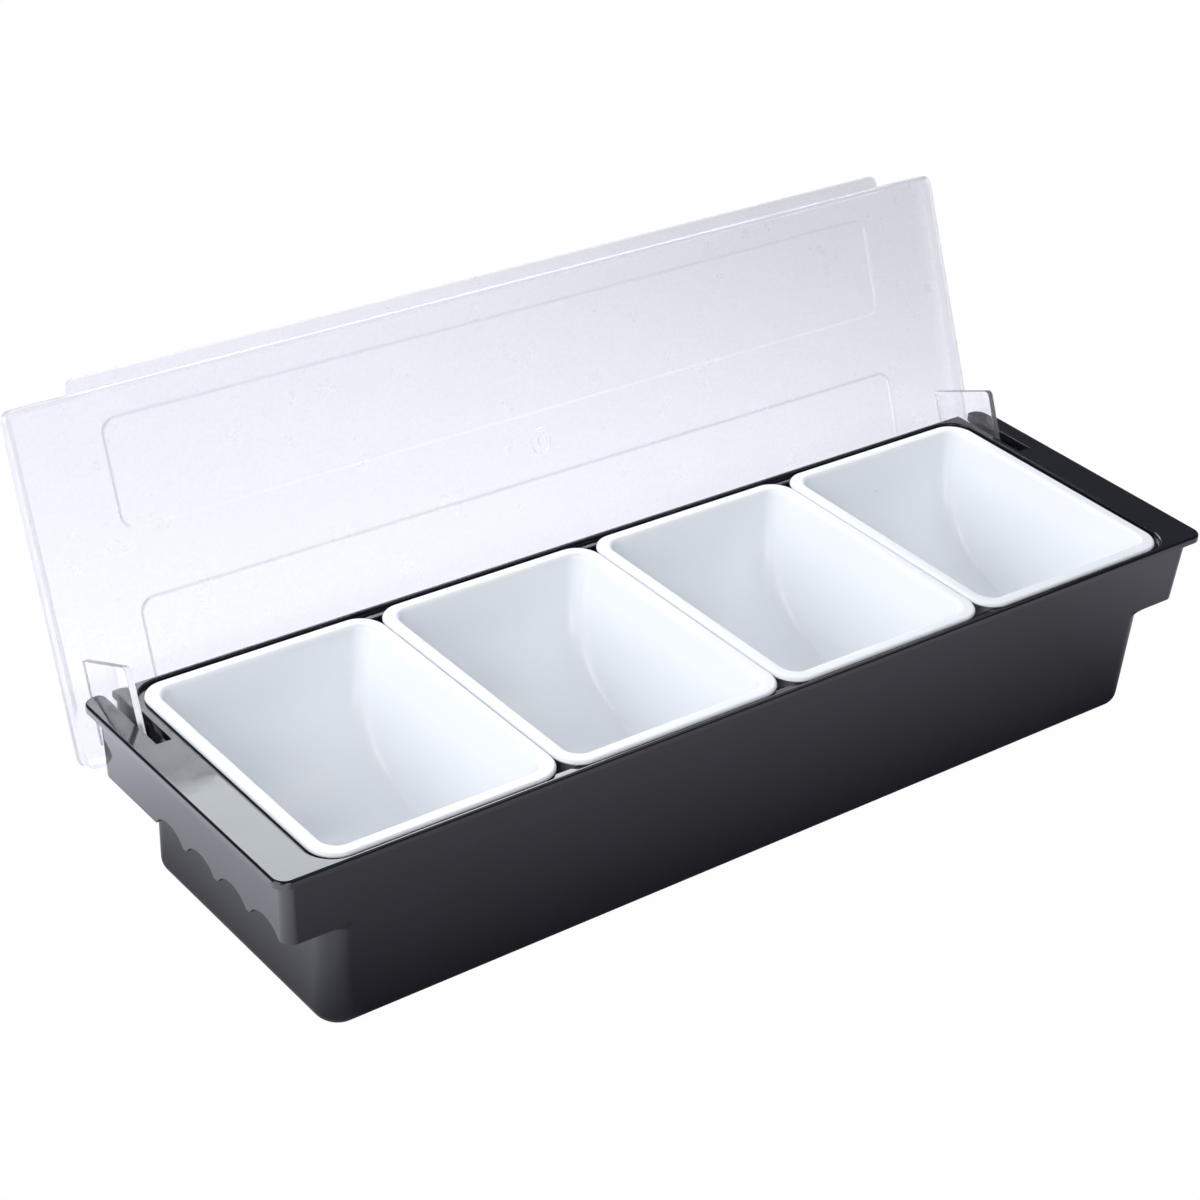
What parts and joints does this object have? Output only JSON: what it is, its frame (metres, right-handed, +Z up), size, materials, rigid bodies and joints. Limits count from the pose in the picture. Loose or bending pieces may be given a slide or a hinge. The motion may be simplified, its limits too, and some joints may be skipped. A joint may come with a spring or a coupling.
{
  "type": "condiment caddy",
  "caption": "Long black tray with end grips, holding lift-out white scoop-floored inserts under one clear full-length lid that flips back on two ears.",
  "frame": {"origin": "centre of the flat base of the tray, on the surface it stands on", "axes": "+X along the tray to the right, +Y towards the lid's hinge side, +Z up"},
  "size_m": [0.495, 0.2079, 0.1913],
  "materials": {
    "tray_plastic": "glossy moulded plastic",
    "lid_plastic": "clear moulded plastic with a faint grain",
    "insert_plastic": "smooth moulded plastic"
  },
  "bodies": {
    "tray": {"tray": "tray_plastic"},
    "lid": {"lid": "lid_plastic"},
    "insert_1": {"insert_1": "insert_plastic"},
    "insert_2": {"insert_2": "insert_plastic"},
    "insert_3": {"insert_3": "insert_plastic"},
    "insert_4": {"insert_4": "insert_plastic"}
  },
  "joints": [
    {"name": "lid_hinge", "type": "hinge", "parent": "tray", "child": "lid", "pos_m": [0, 0.0609, 0.0729], "axis": [-1, 0, 0], "range_deg": [-113.81, 0]},
    {"name": "insert_1_lift", "type": "slide", "parent": "tray", "child": "insert_1", "axis": [0, 0, 1], "range_m": [0, 0.11]},
    {"name": "insert_2_lift", "type": "slide", "parent": "tray", "child": "insert_2", "axis": [0, 0, 1], "range_m": [0, 0.11]},
    {"name": "insert_3_lift", "type": "slide", "parent": "tray", "child": "insert_3", "axis": [0, 0, 1], "range_m": [0, 0.11]},
    {"name": "insert_4_lift", "type": "slide", "parent": "tray", "child": "insert_4", "axis": [0, 0, 1], "range_m": [0, 0.11]}
  ]
}
